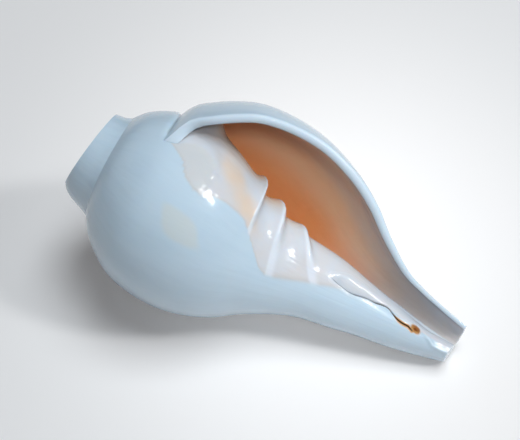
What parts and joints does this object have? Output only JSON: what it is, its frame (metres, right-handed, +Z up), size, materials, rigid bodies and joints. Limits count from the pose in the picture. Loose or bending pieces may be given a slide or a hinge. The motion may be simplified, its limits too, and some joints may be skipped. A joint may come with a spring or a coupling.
{
  "type": "conch shell",
  "caption": "Polished white conch shell of the shank kind, wide mouth, folded pillar, open canal, apex ground off flat with a blowing hole.",
  "frame": {"origin": "centre of the object's box at its lowest point, on the surface the shell lies on", "axes": "+Z up, +X level towards the tip of the canal, mouth turned up and towards -Y; the ground-off apex is at -X"},
  "size_m": [0.1524, 0.0832, 0.0848],
  "materials": {
    "shell": "polished porcelain-like shell, white outside, orange-brown inside"
  },
  "bodies": {
    "root": {"shell": "shell"}
  },
  "joints": []
}
